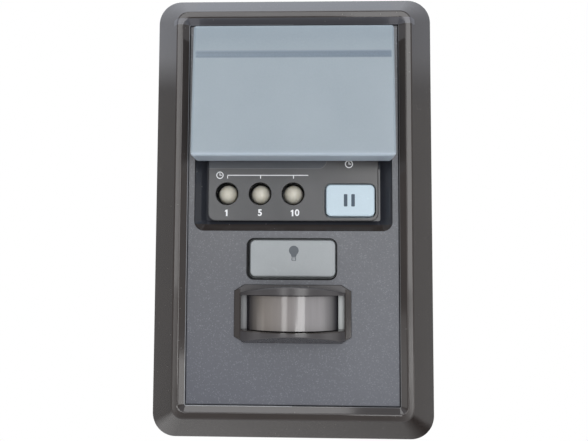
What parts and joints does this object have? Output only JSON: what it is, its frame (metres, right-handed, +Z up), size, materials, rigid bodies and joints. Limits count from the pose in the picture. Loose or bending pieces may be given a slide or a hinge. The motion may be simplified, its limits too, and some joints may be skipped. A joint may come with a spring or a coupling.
{
  "type": "garage door wall control",
  "caption": "Wall control for a garage door opener: hinged sprung push bar over set buttons, timer lamps, light button and motion sensor window.",
  "frame": {"origin": "on the wall plane, at the centre of the back", "axes": "+X to the viewer's right, +Y into the wall, +Z up the wall"},
  "size_m": [0.082, 0.028, 0.13],
  "materials": {
    "casing_gloss": "moulded dark grey-brown plastic, high gloss",
    "face_metallic": "dark grey metallic paint with fine sparkle, satin",
    "timer_gloss": "dark grey plastic, gloss, printed numbers",
    "push_bar_plastic": "translucent pale blue-grey plastic, satin gloss",
    "frame_plastic": "black moulded plastic",
    "spring_steel": "bright spring wire",
    "grey_button": "light grey moulded plastic, printed mark",
    "white_button": "pale bluish white moulded plastic, printed mark",
    "smoked_lens": "smoked translucent plastic, fine upright flutes",
    "sensor_can": "nickel-plated can",
    "board_laminate": "green glass-fibre laminate with solder mask",
    "chip_resin": "black epoxy package with tinned pins",
    "capacitor_can": "bare aluminium can on a black base",
    "cover_plastic": "black moulded plastic, fine texture",
    "screw_steel": "zinc-plated steel",
    "terminal_steel": "nickel-plated steel",
    "switch_body": "black plastic base with steel cover",
    "switch_plunger": "black plastic",
    "led_epoxy": "milky warm white epoxy"
  },
  "bodies": {
    "casing": {"front_housing": "casing_gloss", "face_panel": "face_metallic", "timer_panel": "timer_gloss", "push_bar_springs": "spring_steel", "sensor_hood": "casing_gloss", "motion_lens": "smoked_lens", "motion_sensor": "sensor_can", "circuit_board": "board_laminate", "microcontroller": "chip_resin", "capacitors": "capacitor_can", "back_cover": "cover_plastic", "board_screws": "screw_steel", "case_screws": "screw_steel", "terminal_plates": "terminal_steel", "terminal_screws": "terminal_steel", "door_switch": "switch_body", "light_switch": "switch_body", "hold_open_switch": "switch_body", "timer_switch": "switch_body", "lock_switch": "switch_body", "learn_switch": "switch_body", "led_1_minute": "led_epoxy", "led_5_minutes": "led_epoxy", "led_10_minutes": "led_epoxy"},
    "push_bar_frame": {"push_bar_frame": "frame_plastic", "door_plunger": "switch_plunger"},
    "push_bar": {"push_bar": "push_bar_plastic"},
    "light_button": {"light_button": "grey_button", "light_plunger": "switch_plunger"},
    "hold_open_button": {"hold_open_button": "white_button", "hold_open_plunger": "switch_plunger"},
    "timer_button": {"timer_button": "white_button", "timer_plunger": "switch_plunger"},
    "lock_button": {"lock_button": "grey_button", "lock_plunger": "switch_plunger"},
    "learn_button": {"learn_button": "grey_button", "learn_plunger": "switch_plunger"}
  },
  "joints": [
    {"name": "push_bar_press", "type": "slide", "parent": "casing", "child": "push_bar_frame", "axis": [0, 1, 0], "range_m": [0, 0.0005], "stiffness_N_per_m": 1500, "springref_m": -0.0005, "deforming": ["push_bar_springs"]},
    {"name": "push_bar_lift", "type": "hinge", "parent": "push_bar_frame", "child": "push_bar", "pos_m": [0, -0.021, 0.0471], "axis": [-1, 0, 0], "range_deg": [0, 100]},
    {"name": "light_press", "type": "slide", "parent": "casing", "child": "light_button", "axis": [0, 1, 0], "range_m": [0, 0.0005], "stiffness_N_per_m": 600, "springref_m": -0.0005},
    {"name": "hold_open_press", "type": "slide", "parent": "casing", "child": "hold_open_button", "axis": [0, 1, 0], "range_m": [0, 0.0005], "stiffness_N_per_m": 600, "springref_m": -0.0005},
    {"name": "timer_press", "type": "slide", "parent": "casing", "child": "timer_button", "axis": [0, 1, 0], "range_m": [0, 0.0005], "stiffness_N_per_m": 600, "springref_m": -0.0005},
    {"name": "lock_press", "type": "slide", "parent": "casing", "child": "lock_button", "axis": [0, 1, 0], "range_m": [0, 0.0005], "stiffness_N_per_m": 600, "springref_m": -0.0005},
    {"name": "learn_press", "type": "slide", "parent": "casing", "child": "learn_button", "axis": [0, 1, 0], "range_m": [0, 0.0005], "stiffness_N_per_m": 600, "springref_m": -0.0005}
  ]
}
